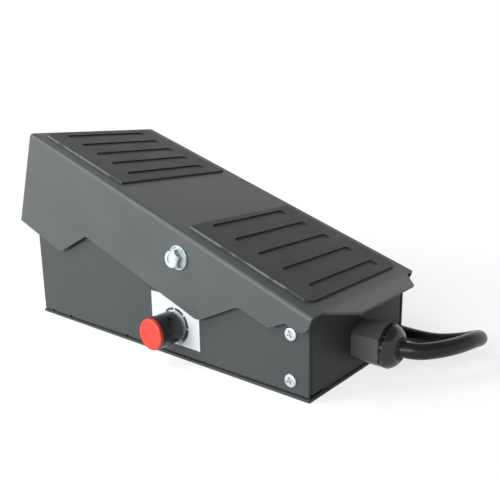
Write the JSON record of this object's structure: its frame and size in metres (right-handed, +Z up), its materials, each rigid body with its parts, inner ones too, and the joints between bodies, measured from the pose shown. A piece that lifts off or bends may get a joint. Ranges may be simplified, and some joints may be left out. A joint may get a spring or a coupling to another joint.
{
  "type": "foot control pedal",
  "caption": "Rocking sheet-steel foot pedal on a box base, with ribbed rubber treads, a side dial, a geared sensor, a switch, a spring and a cable to a round plug.",
  "frame": {"origin": "middle of the base's underside, on the surface that the pedal stands on", "axes": "+X from the high toe end to the low cable end, +Y to the side away from the dial, +Z up"},
  "size_m": [0.3442, 0.2681, 0.1318],
  "materials": {
    "black_coat": "satin black powder coat on sheet steel",
    "tread_rubber": "matt moulded rubber",
    "zinc": "bright zinc plate",
    "spring_steel": "oiled spring steel",
    "label_film": "printed film",
    "knob_black": "moulded black",
    "cap_red": "moulded red",
    "pot_case": "stamped case",
    "gear_nylon": "natural nylon",
    "pinion_brass": "cut brass",
    "switch_case": "phenolic black",
    "stop_rubber": "matt",
    "seat_plastic": "moulded",
    "gland_nylon": "black nylon",
    "cable_sheath": "satin black sheath",
    "strap": "hook and loop strap",
    "plug_chrome": "bright plate",
    "plug_black": "phenolic black",
    "pin_gold": "gold plated"
  },
  "bodies": {
    "base": {"base_shell": "black_coat", "cable_end_panel": "black_coat", "bottom_plate": "black_coat", "panel_screws": "zinc", "panel_nuts": "zinc", "plate_screws": "zinc", "plate_nuts": "zinc", "pivot_bolts": "zinc", "pivot_bushes": "pinion_brass", "pivot_nuts": "zinc", "dial_label": "label_film", "limit_pot": "pot_case", "limit_pot_nut": "zinc", "main_pot": "pot_case", "main_pot_nut": "zinc", "pot_bracket": "zinc", "bracket_rivets": "zinc", "start_switch": "switch_case", "switch_bracket": "zinc", "switch_screws": "zinc", "return_spring": "spring_steel", "spring_seat": "seat_plastic", "rest_stops": "stop_rubber", "press_stops": "stop_rubber", "gland_body": "gland_nylon", "gland_locknut": "gland_nylon", "gland_dome_nut": "gland_nylon", "gland_seal": "stop_rubber", "cable_tail": "cable_sheath", "cable": "cable_sheath", "cable_coil": "cable_sheath", "coil_tie": "strap", "cable_end": "cable_sheath", "plug_clamp": "plug_chrome", "plug_shell": "plug_chrome", "plug_barrel": "plug_chrome", "plug_insulator": "plug_black", "plug_pins": "pin_gold"},
    "lid": {"pedal_lid": "black_coat", "upper_tread": "tread_rubber", "lower_tread": "tread_rubber", "sector_gear": "gear_nylon", "spring_cap": "seat_plastic", "switch_striker": "zinc"},
    "dial": {"knob_body": "knob_black", "knob_cap": "cap_red", "knob_set_screw": "spring_steel", "limit_shaft": "pot_case"},
    "pinion": {"drive_pinion": "pinion_brass", "main_pot_shaft": "pot_case"},
    "lever": {"switch_lever": "spring_steel"},
    "plunger": {"switch_plunger": "cap_red"},
    "coupling_ring": {"plug_ring": "plug_chrome"}
  },
  "joints": [
    {"name": "lid_hinge", "type": "hinge", "parent": "base", "child": "lid", "pos_m": [0.0335, 0, 0.064], "axis": [0, 1, 0], "range_deg": [-19, 0], "stiffness_Nm_per_rad": 6, "springref_deg": 11.46, "deforming": ["return_spring"]},
    {"name": "dial_turn", "type": "hinge", "parent": "base", "child": "dial", "pos_m": [0.0242, -0.06, 0.0201], "axis": [0, 1, 0], "range_deg": [-150, 150]},
    {"name": "pinion_spin", "type": "hinge", "parent": "base", "child": "pinion", "pos_m": [0.0335, 0.0055, 0.015], "axis": [0, 1, 0], "range_deg": [-5, 120]},
    {"name": "lever_swing", "type": "hinge", "parent": "base", "child": "lever", "pos_m": [0.075, -0.02635, 0.0395], "axis": [0, 1, 0], "range_deg": [-6, 0]},
    {"name": "plunger_slide", "type": "slide", "parent": "base", "child": "plunger", "axis": [0, 0, 1], "range_m": [0, 0.0007]},
    {"name": "ring_turn", "type": "hinge", "parent": "base", "child": "coupling_ring", "pos_m": [-0.0036, 0.1868, 0.00935], "axis": [1, 0, 0], "continuous": true}
  ],
  "couplings": [
    {"joint": "pinion_spin", "follows": "lid_hinge", "ratio": -6},
    {"joint": "lever_swing", "follows": "lid_hinge", "ratio": 0.3},
    {"joint": "plunger_slide", "follows": "lid_hinge", "m_per_rad": -0.0018}
  ]
}
